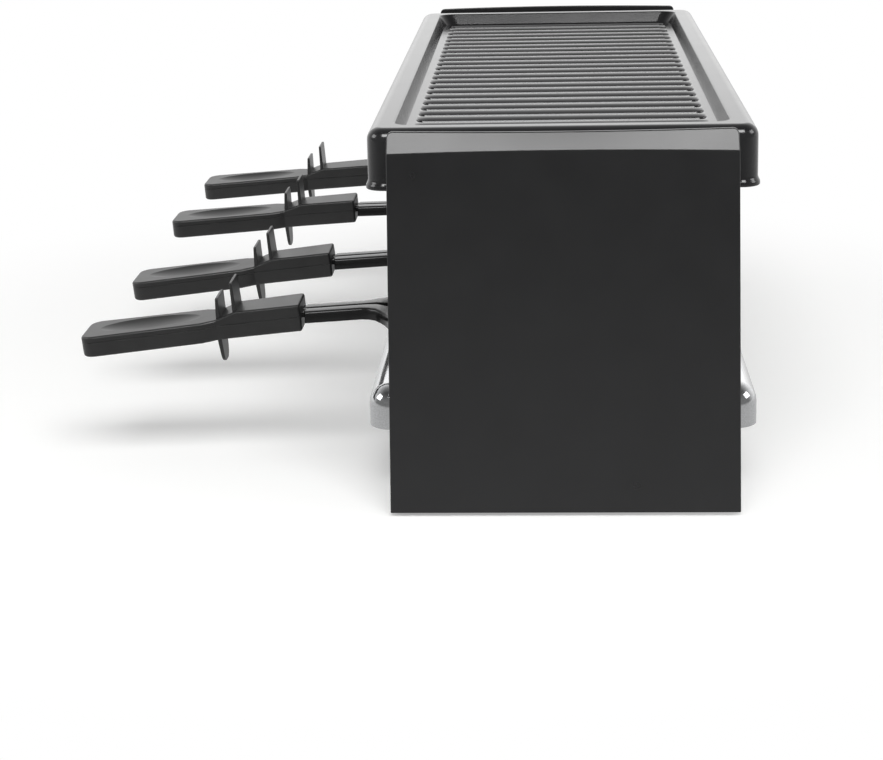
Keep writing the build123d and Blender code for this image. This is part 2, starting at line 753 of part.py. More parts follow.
with BuildPart() as stud:
    with BuildSketch(Plane.YZ.offset(head_face)):
        with Locations((34.0, 60.0)):
            Circle(2.0)
    extrude(amount=-5.0)
save(stud, "earth_stud")

top_hole = block_z + 6.0 - 2.0
lead_x = face_x + 4.5
blade_x = face_x + 9.0
pin_end = pin_x - 5.0
lead_rise = 14.0
blade_end = cutout_face - blade
switch_low = switch_z - box_h / 2 - blade
switch_high = switch_z + box_h / 2 + blade
near_blade, far_blade = cutout_y - cutout_blades, cutout_y + cutout_blades
leads = {
    "lead_to_switch": [(blade_x, switch_y, switch_low), (blade_x, switch_y, switch_low - 9),
                       (block_x, block_y - block_holes, top_hole + 10), (block_x, block_y - block_holes, top_hole)],
    "lead_to_cutout": [(blade_x, switch_y, switch_high), (blade_x, switch_y, switch_high + 4),
                       (lead_x + 1, near_blade, switch_high + 4), (lead_x + 1, near_blade, cutout_z),
                       (blade_end, near_blade, cutout_z)],
    "lead_element_front": [(blade_end, far_blade, cutout_z), (lead_x, far_blade, cutout_z),
                           (lead_x, far_blade, tube_z), (lead_x, tube_runs[0], tube_z),
                           (pin_end, tube_runs[0], tube_z)],
    "lead_element_back": [(block_x, block_y, top_hole), (block_x, block_y, top_hole + lead_rise),
                          (lead_x, tube_runs[-1], top_hole + 2 * lead_rise), (lead_x, tube_runs[-1], tube_z),
                          (pin_end, tube_runs[-1], tube_z)],
    "lead_earth": [(block_x, block_y + block_holes, top_hole), (block_x, block_y + block_holes, top_hole + 6),
                   (block_x - 5, 34.0, 60.0), (head_face - 5.0, 34.0, 60.0)],
}
for name, points in leads.items():
    with BuildPart() as lead:
        with BuildLine() as run:
            FilletPolyline(*points, radius=1.4)
        with BuildSketch(Plane(origin=run.line @ 0, z_dir=run.line % 0)):
            Circle(lead_diameter / 2)
        sweep(path=run.line)
    save(lead, name)
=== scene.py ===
import json
import math

import bmesh
import bpy
from mathutils import Euler, Matrix, Vector


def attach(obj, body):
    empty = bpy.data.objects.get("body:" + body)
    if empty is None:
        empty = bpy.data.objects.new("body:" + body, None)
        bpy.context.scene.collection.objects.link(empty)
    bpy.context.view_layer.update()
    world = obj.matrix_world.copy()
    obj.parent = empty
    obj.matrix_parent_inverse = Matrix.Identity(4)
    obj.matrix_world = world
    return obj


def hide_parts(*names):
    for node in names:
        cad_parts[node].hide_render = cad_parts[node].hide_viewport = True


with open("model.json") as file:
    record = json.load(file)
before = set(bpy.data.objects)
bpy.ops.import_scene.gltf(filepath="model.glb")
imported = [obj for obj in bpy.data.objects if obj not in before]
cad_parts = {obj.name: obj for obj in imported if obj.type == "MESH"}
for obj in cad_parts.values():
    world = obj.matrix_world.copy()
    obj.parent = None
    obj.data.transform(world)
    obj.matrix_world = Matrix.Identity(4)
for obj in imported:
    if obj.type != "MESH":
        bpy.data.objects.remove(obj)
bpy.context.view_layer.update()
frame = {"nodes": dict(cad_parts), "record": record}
nodes = frame["nodes"]
mm = 0.001
centreX, centreY = 3.0, 64.2176  # the grill's centre in the frame, in millimetres
close = 0.05  # a point this close to a plane lies on it, in millimetres
dressed = {}  # finished pieces and their slots
print("frame loaded:", len(nodes), "CAD nodes")


# modelling helpers, all lengths in millimetres
def onlySelect(piece=None):
    if bpy.context.mode != "OBJECT":
        bpy.ops.object.mode_set(mode="OBJECT")
    bpy.ops.object.select_all(action="DESELECT")
    if piece:
        piece.select_set(True)
        bpy.context.view_layer.objects.active = piece


def keepPlace(name):
    # place, turn and size go into the mesh, and the object stays at the origin
    bpy.ops.object.transform_apply(location=True, rotation=True, scale=True)
    piece = bpy.context.object
    piece.name = piece.data.name = name
    return piece


def startBox(name, low, high):
    onlySelect()
    low, high = Vector(low) * mm, Vector(high) * mm
    bpy.ops.mesh.primitive_cube_add(size=1, location=(low + high) / 2, scale=high - low)
    return keepPlace(name)


def startSheet(name, low, high, level):
    onlySelect()
    spot = ((low[0] + high[0]) / 2 * mm, (low[1] + high[1]) / 2 * mm, level * mm)
    bpy.ops.mesh.primitive_plane_add(size=1, location=spot)
    bpy.context.object.scale = ((high[0] - low[0]) * mm, (high[1] - low[1]) * mm, 1)
    return keepPlace(name)


def startRod(name, centre, radius, length, turn=(0, 0, 0)):
    onlySelect()
    bpy.ops.mesh.primitive_cylinder_add(vertices=32, radius=radius * mm, depth=length * mm,
                                        location=Vector(centre) * mm, rotation=turn)
    return keepPlace(name)


def openEdit(piece):
    onlySelect(piece)
    bpy.ops.object.mode_set(mode="EDIT")
    bpy.ops.mesh.select_all(action="DESELECT")


def closeEdit():
    bpy.ops.object.mode_set(mode="OBJECT")


def pick(kind, test):
    bpy.ops.mesh.select_mode(type=kind)
    bpy.ops.mesh.select_all(action="DESELECT")
    mesh = bpy.context.edit_object.data
    shape = bmesh.from_edit_mesh(mesh)
    shape.normal_update()
    if kind == "VERT":
        for point in shape.verts:
            point.select_set(bool(test(point.co / mm)))
    elif kind == "EDGE":
        for edge in shape.edges:
            edge.select_set(bool(test(edge.verts[0].co / mm, edge.verts[1].co / mm)))
    else:
        for face in shape.faces:
            face.select_set(bool(test(face.calc_center_median() / mm, face.normal)))
    shape.select_flush_mode()
    bmesh.update_edit_mesh(mesh)


def upright(a, b):
    # an edge that runs up the corner of a blank
    return abs(a.z - b.z) > 5


def facesUp(centre, normal):
    return normal.z > 0.99


def facesDown(centre, normal):
    return normal.z < -0.99


def cut(place, normal, **settings):
    bpy.ops.mesh.select_all(action="SELECT")
    bpy.ops.mesh.bisect(plane_co=Vector(place) * mm, plane_no=normal, **settings)


def move(x, y, z):
    bpy.ops.transform.translate(value=(x * mm, y * mm, z * mm))


def resize(x, y, z, centre):
    bpy.ops.transform.resize(value=(x, y, z), center_override=Vector(centre) * mm)


def extrude(x, y, z):
    step = {"value": (x * mm, y * mm, z * mm)}
    bpy.ops.mesh.extrude_region_move(TRANSFORM_OT_translate=step)


def roundEdges(offset, segments):
    bpy.ops.mesh.bevel(offset=offset * mm, segments=segments, affect="EDGES")


def applyModifier(piece, kind, **settings):
    onlySelect(piece)
    modifier = piece.modifiers.new(kind.lower(), kind)
    for name, value in settings.items():
        setattr(modifier, name, value)
    bpy.ops.object.modifier_apply(modifier=modifier.name)


def softenEdges(piece, width, segments, angle):
    applyModifier(piece, "BEVEL", width=width * mm, segments=segments, limit_method="ANGLE",
                  angle_limit=math.radians(angle))


def thicken(piece, wall):
    applyModifier(piece, "SOLIDIFY", thickness=wall * mm, offset=-1)


def carve(piece, tool):
    applyModifier(piece, "BOOLEAN", object=tool, operation="DIFFERENCE", solver="EXACT")
    bpy.data.objects.remove(tool)


def joinPieces(piece, *others):
    onlySelect(piece)
    for other in others:
        other.select_set(True)
    bpy.ops.object.join()
    return piece


def copyPiece(piece, name, place):
    # a copy with its own mesh, its place kept in the mesh
    copied = piece.copy()
    copied.data = piece.data.copy()
    bpy.context.scene.collection.objects.link(copied)
    copied.matrix_world = place
    onlySelect(copied)
    copied = keepPlace(name)
    if place.determinant() < 0:
        openEdit(copied)
        bpy.ops.mesh.select_all(action="SELECT")
        bpy.ops.mesh.normals_make_consistent(inside=False)
        closeEdit()
    return copied


def settle(piece, body, slot, *replaced):
    # shaded so that large faces stay flat beside their rounded edges
    onlySelect(piece)
    bpy.ops.object.shade_smooth_by_angle(angle=math.radians(35))
    applyModifier(piece, "WEIGHTED_NORMAL", keep_sharp=True)
    # it rides on its body and stands for the CAD nodes that it replaces
    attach(piece, body)
    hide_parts(*replaced)
    dressed[piece] = slot


# end casings: a black box front that steps back to a thin ridge above the plate's level
# columns are shares of the half width; a ridge has its rise at the ends and in the middle
# holes are given by place along Y, height, and width and height or diameter
casingLook = dict(outer=220.0, mate=199.0, ridgeInner=213.5, foot=1.5, step=129.5, faceTop=149.0,
                  ridgeTop=157.2, ridgeDepth=1.5, setBack=4.5, halfWidth=70.5, flare=2.0, wall=2.0,
                  faceBow=1.0, edgeRound=1.2, edgeAngle=18, cornerRound=2.2,
                  columns=(-0.85, -0.65, -0.43, -0.2, 0.0, 0.2, 0.43, 0.65, 0.85),
                  nearRidge=(0.0, -0.7), farRidge=(-0.9, 0.0), holeDepth=5.0,
                  switchHole=(36.2176, 84.0, 13.0, 19.0), lampHole=(36.2176, 108.0, 6.0),
                  glandHole=(102.2176, 24.0, 10.0))


def modelEndCasing(name, ridgeEnds, ridgeMiddle):
    look = casingLook
    half = look["halfWidth"]
    casing = startBox(name, (look["ridgeInner"], centreY - half, look["foot"]),
                      (look["outer"], centreY + half, look["ridgeTop"]))
    openEdit(casing)
    cut((0, 0, look["step"]), (0, 0, 1))
    cut((0, 0, look["faceTop"]), (0, 0, 1))
    for share in look["columns"]:
        cut((0, centreY + share * half, 0), (0, 1, 0))
    # the box below the step is drawn back to the bulkhead and hollowed
    pick("FACE", lambda centre, normal: normal.x < -0.9 and centre.z < look["step"])
    extrude(look["mate"] - look["ridgeInner"], 0, 0)
    bpy.ops.mesh.inset(thickness=look["wall"] * mm)
    extrude(look["outer"] - look["wall"] - look["mate"], 0, 0)
    pick("VERT", lambda point: point.z > look["ridgeTop"] - close
         and point.x > look["outer"] - close)
    move(-look["setBack"], 0, 0)
    # the face and the ridge are bowed a little
    ridgeFoot = look["ridgeTop"] - look["ridgeDepth"]
    pick("VERT", lambda point: point.z > look["ridgeTop"] - close)
    move(0, 0, ridgeEnds)
    for share in look["columns"]:
        place = centreY + share * half
        bow = 1 - share * share
        pick("VERT", lambda point: abs(point.y - place) < close and point.x > look["outer"] - close
             and abs(point.z - look["faceTop"]) < close)
        move(0, 0, look["faceBow"] * bow)
        pick("VERT", lambda point: abs(point.y - place) < close and point.z > ridgeFoot)
        move(0, 0, (ridgeMiddle - ridgeEnds) * bow)
    # wider at the foot: each row with how far from it its points may lie
    for level, reach in ((look["step"], 10.0), (look["faceTop"], 3.0), (look["ridgeTop"], 3.0)):
        risen = (level - look["foot"]) / (look["faceTop"] - look["foot"])
        pick("VERT", lambda point: abs(point.z - level) < reach)
        resize(1, (half - look["flare"] * risen) / half, 1, (0, centreY, 0))
    # the ridge's upper corners are cut round
    pick("EDGE", lambda a, b: min(a.z, b.z) > ridgeFoot and abs(a.x - b.x) > close
         and min(abs(a.y - centreY), abs(b.y - centreY)) > 0.9 * half)
    roundEdges(look["cornerRound"], 4)
    closeEdit()
    softenEdges(casing, look["edgeRound"], 3, look["edgeAngle"])
    return casing


casingRight = modelEndCasing("endCasingRight", *casingLook["nearRidge"])
farModel = modelEndCasing("farModel", *casingLook["farRidge"])
# the far casing faces the other way, and has the switch, lamp and cable holes
mirrored = Matrix.Translation((2 * centreX * mm, 0, 0)) @ Matrix.Diagonal((-1, 1, 1, 1))
casingLeft = copyPiece(farModel, "endCasingLeft", mirrored)
bpy.data.objects.remove(farModel)
faceLeft = 2 * centreX - casingLook["outer"]
holeDepth = casingLook["holeDepth"]
spotY, spotZ, wide, tall = casingLook["switchHole"]
carve(casingLeft, startBox("switchCut", (faceLeft - 2, spotY - wide / 2, spotZ - tall / 2),
                           (faceLeft + holeDepth, spotY + wide / 2, spotZ + tall / 2)))
for spotY, spotZ, across in (casingLook["lampHole"], casingLook["glandHole"]):
    carve(casingLeft, startRod("roundCut", (faceLeft + 1, spotY, spotZ), across / 2,
                               2 * (holeDepth - 1), (0, math.pi / 2, 0)))
settle(casingRight, "body", "casing_black", "end_casing_right")
settle(casingLeft, "body", "casing_black", "end_casing_left")
print("end casings modelled")


# grill plate: a cast tray with a rounded rim, sloping inner walls and cross ribs
# ribColumns lie across one groove, and those nearer its middle than narrowed are drawn in at
# its ends; runOut gives, along such an end, the share of the fade and the share of the depth
plateLook = dict(low=(-197.0, -14.5324, 131.0), high=(203.0, 142.9676, 155.8), cornerRound=7.5,
                 topRound=5.0, rimWidth=11.1, recess=5.5, bed=147.0, wallSlope=30, innerRound=8.0,
                 skirtWall=3.5, underside=144.8, lip=0.8, lipRows=(1.6, 3.2), edgeRound=1.1,
                 edgeAngle=28, ribPitch=15.2, ribCount=24, grooveHalf=3.2, grooveDepth=3.2,
                 ribCrown=1.1, ribReach=61.0, ribFade=4.5, narrowed=5.0, fieldGap=1.7,
                 fieldEnd=4.6, fieldWall=1.1,
                 ribColumns=(-6.2, -4.9, -3.9, -3.2, -2.8, -2.0, -1.0, 0.0, 1.0, 2.0, 2.8, 3.2,
                             3.9, 4.9, 6.2),
                 runOut=((0.0, 0.0), (0.1, 0.44), (0.3, 0.71), (0.55, 0.89), (0.8, 0.98),
                         (1.0, 1.0)))


def modelRibs():
    # one pitch of the field, repeated along the plate
    look = plateLook
    level = look["high"][2] - look["recess"]
    pitch = look["ribPitch"]
    start = (look["low"][0] + look["high"][0]) / 2 - look["ribCount"] * pitch / 2
    end = start + look["ribCount"] * pitch
    groove = start + pitch / 2
    across = (look["high"][1] - look["low"][1]) / 2 - look["rimWidth"] - look["fieldGap"]
    ribs = startSheet("ribField", (start, centreY - across), (start + pitch, centreY + across),
                      level)
    reach = look["ribReach"]
    rows = [(reach - part * look["ribFade"], share) for part, share in look["runOut"]]
    openEdit(ribs)
    for offset in look["ribColumns"]:
        cut((groove + offset, 0, 0), (1, 0, 0))
    for place, share in rows:
        cut((0, centreY - place, 0), (0, 1, 0))
        cut((0, centreY + place, 0), (0, 1, 0))
    half, crown = look["grooveHalf"], look["ribCrown"]
    for offset in look["ribColumns"] + (-pitch / 2, pitch / 2):
        away = abs(offset)
        if away < half:
            drop = crown + (look["grooveDepth"] - crown) * math.sqrt(1 - (away / half) ** 2)
        else:
            drop = crown * ((pitch / 2 - away) / (pitch / 2 - half)) ** 2
        pick("VERT", lambda point: abs(point.x - groove - offset) < close)
        move(0, 0, -drop)
    # the grooves run out shallower and narrower at their ends
    for place, share in rows[:-1]:
        pick("VERT", lambda point: abs(abs(point.y - centreY) - place) < close)
        resize(1, 1, share, (0, centreY, level))
        pick("VERT", lambda point: abs(abs(point.y - centreY) - place) < close
             and abs(point.x - groove) < look["narrowed"])
        resize(math.sqrt(max(share, 0.02)), 1, 1, (groove, centreY, level))
    pick("VERT", lambda point: abs(point.y - centreY) > reach + close)
    resize(1, 1, 0, (0, centreY, level))
    closeEdit()
    applyModifier(ribs, "ARRAY", count=look["ribCount"], use_relative_offset=False,
                  use_constant_offset=True, constant_offset_displace=(pitch * mm, 0, 0),
                  use_merge_vertices=True, merge_threshold=0.00001)
    # a flat strip at both ends of the field
    openEdit(ribs)
    for place, way in ((start, -1), (end, 1)):
        pick("EDGE", lambda a, b: max(abs(a.x - place), abs(b.x - place)) < close)
        extrude(way * look["fieldEnd"], 0, 0)
    closeEdit()
    thicken(ribs, look["fieldWall"])
    return ribs


def modelGrillPlate():
    look = plateLook
    low, high = look["low"], look["high"]
    plate = startBox("grillPlate", low, high)
    openEdit(plate)
    pick("EDGE", upright)
    roundEdges(look["cornerRound"], 8)
    pick("FACE", facesUp)
    bpy.ops.mesh.region_to_loop()
    roundEdges(look["topRound"], 6)
    pick("FACE", facesDown)
    bpy.ops.mesh.inset(thickness=look["skirtWall"] * mm)
    extrude(0, 0, look["underside"] - low[2])
    # a small lip stands proud along the skirt's lower edge
    lipTop, lipEnd = look["lipRows"]
    cut((0, 0, low[2] + lipTop), (0, 0, 1))
    cut((0, 0, low[2] + lipEnd), (0, 0, 1))
    halfX, halfY = (high[0] - low[0]) / 2, (high[1] - low[1]) / 2
    pick("VERT", lambda point: point.z > low[2] + lipEnd - close)
    resize((halfX - look["lip"]) / halfX, (halfY - look["lip"]) / halfY, 1, (centreX, centreY, 0))
    closeEdit()
    # sloping walls down to the bed under the ribs
    slope = math.tan(math.radians(look["wallSlope"]))
    above = 1.2  # how far the cutting shape stands over the rim
    outX = halfX - look["rimWidth"] + above * slope
    outY = halfY - look["rimWidth"] + above * slope
    tool = startBox("recessCut", (centreX - outX, centreY - outY, look["bed"]),
                    (centreX + outX, centreY + outY, high[2] + above))
    openEdit(tool)
    pick("EDGE", upright)
    roundEdges(look["innerRound"], 8)
    inward = (high[2] + above - look["bed"]) * slope
    pick("VERT", lambda point: point.z < look["bed"] + close)
    resize((outX - inward) / outX, (outY - inward) / outY, 1, (centreX, centreY, 0))
    closeEdit()
    carve(plate, tool)
    softenEdges(plate, look["edgeRound"], 3, look["edgeAngle"])
    return joinPieces(plate, modelRibs())


settle(modelGrillPlate(), "plate", "plate_coated", "grill_plate")
print("grill plate modelled")


# pan deck: one polished sheet, rolled down along its edges
deckLook = dict(low=(-191.8, -16.4, 29.6), high=(197.8, 143.5176, 47.0), cornerRound=10.0,
                rollRadius=8.5, wall=1.0)


def modelPanDeck():
    look = deckLook
    deck = startBox("panDeck", look["low"], look["high"])
    openEdit(deck)
    pick("EDGE", upright)
    roundEdges(look["cornerRound"], 6)
    pick("FACE", facesUp)
    bpy.ops.mesh.region_to_loop()
    roundEdges(look["rollRadius"], 6)
    pick("FACE", facesDown)
    bpy.ops.mesh.delete(type="FACE")
    closeEdit()
    thicken(deck, look["wall"])
    return deck


settle(modelPanDeck(), "body", "deck_polished", "pan_deck")
print("pan deck modelled")


# raclette pans: pressed dish with a flat rim, and a folded stem that carries the handle
# stemRows are place along Y, height and half width; stemProfile is the way out from the
# middle and the rise: a middle groove, then a shoulder that turns down into each flange
# pushIn, tilt: one for each pan, nearest first; a tilted pan stands on its heel
panLook = dict(halfWidth=45.0, front=-72.0, back=30.0, rimTop=69.2, floor=47.0, rimWidth=5.0,
               rimRound=12.0, wallAngle=9, floorRound=4.0, metal=1.2, stemHalf=7.3, flange=5.0,
               flangeEnd=-111.0,
               stemRows=((-71.0, 69.2, 24.3), (-72.8, 69.45, 24.3), (-73.9, 69.62, 20.0),
                         (-75.4, 69.85, 16.6), (-77.5, 70.2, 13.3), (-80.0, 70.55, 10.6),
                         (-83.0, 70.42, 8.4), (-86.0, 70.23, 7.3), (-98.0, 69.47, 7.3),
                         (-110.4, 68.69, 7.3), (-110.9, 68.66, 5.3), (-112.04, 68.58, 5.3),
                         (-136.0, 65.9, 5.3)),
               stemProfile=((0.0, -0.95), (0.5, -0.8), (0.9, -0.2), (1.3, 0.0), (5.7, 0.0),
                            (6.4, -0.3), (6.9, -0.9), (7.3, -2.8)),
               pitch=96.5, pushIn=(0.0, 3.2, 5.0, 6.1), tilt=(0.0, 0.0, 2.2, 2.2),
               heel=(18.0992, 47.0), tiltedLift=0.02)


def modelPan():
    look = panLook
    half = look["halfWidth"]
    dish = startBox("panDish", (-half, look["front"], look["floor"]),
                    (half, look["back"], look["rimTop"]))
    openEdit(dish)
    pick("EDGE", upright)
    roundEdges(look["rimRound"], 8)
    # only the top face is left: inset for the rim, then drawn down into the dish
    pick("FACE", lambda centre, normal: normal.z < 0.9)
    bpy.ops.mesh.delete(type="FACE")
    pick("FACE", facesUp)
    bpy.ops.mesh.inset(thickness=look["rimWidth"] * mm)
    depth = look["rimTop"] - look["floor"]
    inward = depth * math.tan(math.radians(look["wallAngle"]))
    bpy.ops.mesh.inset(thickness=inward * mm, depth=-depth * mm)
    bpy.ops.mesh.region_to_loop()
    roundEdges(look["floorRound"], 5)
    closeEdit()
    thicken(dish, look["metal"])
    return dish


def modelStem():
    look = panLook
    rows, profile = look["stemRows"], look["stemProfile"]
    half = look["stemHalf"]
    stem = startSheet("panStem", (-half, rows[-1][0]), (half, rows[0][0]), look["rimTop"])
    openEdit(stem)
    for place, level, wide in rows[1:-1]:
        cut((0, place, 0), (0, 1, 0))
    for away, rise in profile[:-1]:
        cut((away, 0, 0), (1, 0, 0))
        if away:
            cut((-away, 0, 0), (1, 0, 0))
    for away, rise in profile:
        pick("VERT", lambda point: abs(abs(point.x) - away) < close)
        move(0, 0, rise)
    # the flanges go down as far as the handle
    pick("EDGE", lambda a, b: min(abs(a.x), abs(b.x)) > half - close
         and abs(a.y - b.y) > close and min(a.y, b.y) > look["flangeEnd"])
    extrude(0, 0, -look["flange"] - profile[-1][1])
    for place, level, wide in rows:
        pick("VERT", lambda point: abs(point.y - place) < close)
        resize(wide / half, 1, 1, (0, place, 0))
        move(0, 0, level - look["rimTop"])
    closeEdit()
    thicken(stem, look["metal"])
    return stem


def panPlace(index):
    look = panLook
    tilt = look["tilt"][index]
    heel = Vector((0, *look["heel"])) * mm
    spot = Vector((look["pitch"] * (1.5 - index) + centreX, centreY + look["pushIn"][index],
                   look["tiltedLift"] if tilt else 0)) * mm
    return (Matrix.Translation(spot + heel) @ Matrix.Rotation(math.radians(-tilt), 4, "X")
            @ Matrix.Translation(-heel))


# pan handles: two moulded halves, paddle end towards the user, finger guards near the stem
# measured from the sleeve's mouth, where the stem goes in; guards are their foot's back and
# front, their top's back and front, and their height
handleLook = dict(tip=-96.1, low=-6.9, high=4.8, paddleTop=2.1, partLine=-0.6, splitRound=0.2,
                  tipHalf=14.3, rootHalf=12.7, footHalf=10.13, waistHalf=9.7, sleeveHalf=11.0,
                  rootAt=-43.5, rampFoot=-37.5, waistAt=-36.5, waistDip=0.9, rampTop=-28.1,
                  tipRound=6.0, edgeRound=1.1, hollowCentre=(0.0, -67.0, 8.5),
                  hollowSize=(15.2, 34.5, 8.4), tangPocket=((-5.5, -30, -2), (5.5, 2, 0.65)),
                  guards=((-37.0, -35.0, -35.9, -34.7, 11.3), (-29.4, -27.5, -28.8, -27.6, 17.4)),
                  guardHalf=8.5, guardFoot=0.5, guardRound=0.8, guardSoft=0.25,
                  restAt=(-37.6, -35.7), restLow=-18.0, restHigh=-6.0, restHalf=8.2,
                  restTaper=(0.68, 0.7), restRound=3.8, restSoft=0.3, screwAt=-14.0,
                  screwPocket=(3.2, 4), screwHole=(1.7, 16), droop=6.4,
                  origin=(0.0, -112.0, 67.9867))


def modelHandleBlank():
    look = handleLook
    blank = startBox("handleBlank", (-look["tipHalf"], look["tip"], look["low"]),
                     (look["tipHalf"], 0, look["high"]))
    rows = [(look["tip"], look["tipHalf"]), (look["rootAt"], look["rootHalf"]),
            (look["rampFoot"], look["footHalf"]), (look["waistAt"], look["waistHalf"]),
            (look["rampTop"], look["waistHalf"]), (0, look["sleeveHalf"])]
    openEdit(blank)
    for place, half in rows[1:-1]:
        cut((0, place, 0), (0, 1, 0))
    # the paddle's top lies lower than the sleeve's, with a ramp between them
    step = look["paddleTop"] - look["high"]
    highest = look["high"] - close
    pick("VERT", lambda point: point.y < look["rampFoot"] + close and point.z > highest)
    move(0, 0, step)
    pick("VERT", lambda point: abs(point.y - look["waistAt"]) < close and point.z > highest)
    move(0, 0, step * look["waistDip"])
    for place, half in rows:
        pick("VERT", lambda point: abs(point.y - place) < close)
        resize(half / look["tipHalf"], 1, 1, (0, place, 0))
    pick("EDGE", lambda a, b: max(a.y, b.y) < look["tip"] + close and upright(a, b))
    roundEdges(look["tipRound"], 7)
    closeEdit()
    softenEdges(blank, look["edgeRound"], 4, 35)
    return blank


def modelGuard(footBack, footFront, topBack, topFront, top):
    # finger guard: an upright wall that thins and leans towards its top
    look = handleLook
    half = look["guardHalf"]
    guard = startBox("fingerGuard", (-half, footBack, look["guardFoot"]), (half, footFront, top))
    openEdit(guard)
    pick("VERT", lambda point: point.z > top - close)
    resize(1, (topFront - topBack) / (footFront - footBack), 1,
           (0, (footBack + footFront) / 2, top))
    move(0, (topBack + topFront - footBack - footFront) / 2, 0)
    pick("EDGE", lambda a, b: min(a.z, b.z) > top - close and abs(a.y - b.y) > close)
    roundEdges(look["guardRound"], 3)
    closeEdit()
    softenEdges(guard, look["guardSoft"], 2, 40)
    return guard


def modelHandleTop(blank):
    look = handleLook
    top = copyPiece(blank, "handleTop", Matrix.Identity(4))
    openEdit(top)
    cut((0, 0, look["partLine"]), (0, 0, 1), use_fill=True, clear_inner=True)
    pick("EDGE", lambda a, b: max(a.z, b.z) < look["partLine"] + close)
    roundEdges(look["splitRound"], 1)
    closeEdit()
    onlySelect()
    bpy.ops.mesh.primitive_uv_sphere_add(segments=48, ring_count=32, radius=1,
                                         location=Vector(look["hollowCentre"]) * mm)
    bpy.context.object.scale = Vector(look["hollowSize"]) * mm
    carve(top, keepPlace("fingerHollow"))
    carve(top, startBox("tangPocket", *look["tangPocket"]))
    return joinPieces(top, *[modelGuard(*guard) for guard in look["guards"]])


def modelHandleBase(blank):
    look = handleLook
    base = copyPiece(blank, "handleBase", Matrix.Identity(4))
    openEdit(base)
    cut((0, 0, look["partLine"]), (0, 0, 1), use_fill=True, clear_outer=True)
    pick("EDGE", lambda a, b: min(a.z, b.z) > look["partLine"] - close)
    roundEdges(look["splitRound"], 1)
    closeEdit()
    for hole in ("screwPocket", "screwHole"):
        carve(base, startRod(hole, (0, look["screwAt"], look["low"]), *look[hole]))
    # thin rounded tongue under the guards, on which a pan can stand
    half = look["restHalf"]
    back, front = look["restAt"]
    rest = startBox("handleRest", (-half, back, look["restLow"]), (half, front, look["restHigh"]))
    openEdit(rest)
    pick("VERT", lambda point: point.z < look["restLow"] + close)
    resize(*look["restTaper"], 1, (0, (back + front) / 2, look["restLow"]))
    pick("EDGE", lambda a, b: max(a.z, b.z) < look["restLow"] + close and abs(a.y - b.y) > close)
    roundEdges(look["restRound"], 6)
    closeEdit()
    softenEdges(rest, look["restSoft"], 2, 40)
    return joinPieces(base, rest)


panModel = joinPieces(modelPan(), modelStem())
handleBlank = modelHandleBlank()
topModel = modelHandleTop(handleBlank)
baseModel = modelHandleBase(handleBlank)
handlePlace = (Matrix.Translation(Vector(handleLook["origin"]) * mm)
               @ Matrix.Rotation(math.radians(handleLook["droop"]), 4, "X"))
for index in range(4):
    place = panPlace(index)
    number = index + 1
    rider = f"pan_{number}_set"
    settle(copyPiece(panModel, f"raclettePan{number}", place), rider, "pan_coated",
           f"pan_{number}")
    settle(copyPiece(topModel, f"handleTop{number}", place @ handlePlace), rider,
           "handle_black", f"handle_top_{number}")
    settle(copyPiece(baseModel, f"handleBase{number}", place @ handlePlace), rider,
           "handle_black", f"handle_base_{number}")
for model in (panModel, topModel, baseModel, handleBlank):
    bpy.data.objects.remove(model)
print("pans and handles modelled")


# finishes
wavePitch = 0.314  # the spacing of a wave texture at scale 1


def linearColour(hexText):
    values = []
    for start in (1, 3, 5):
        share = int(hexText[start:start + 2], 16) / 255
        values.append(share / 12.92 if share <= 0.04045 else ((share + 0.055) / 1.055) ** 2.4)
    return (*values, 1.0)


def addNode(tree, kind, settings=None, links=None):
    node = tree.nodes.new(kind)
    for name, value in (settings or {}).items():
        if name == "stops":
            for stop, (position, colour) in zip(node.color_ramp.elements, value):
                stop.position, stop.color = position, linearColour(colour)
        elif isinstance(name, int) or name in node.inputs:
            node.inputs[name].default_value = value
        else:
            setattr(node, name, value)
    for name, source in (links or {}).items():
        tree.links.new(source, node.inputs[name])
    return node


def startMaterial(name):
    material = bpy.data.materials.new(name)
    material.use_nodes = True
    tree = material.node_tree
    tree.nodes.clear()
    place = addNode(tree, "ShaderNodeTexCoord").outputs["Object"]
    return material, tree, place


def finishMaterial(material, tree, shader):
    addNode(tree, "ShaderNodeOutputMaterial", links={"Surface": shader.outputs[0]})
    return material


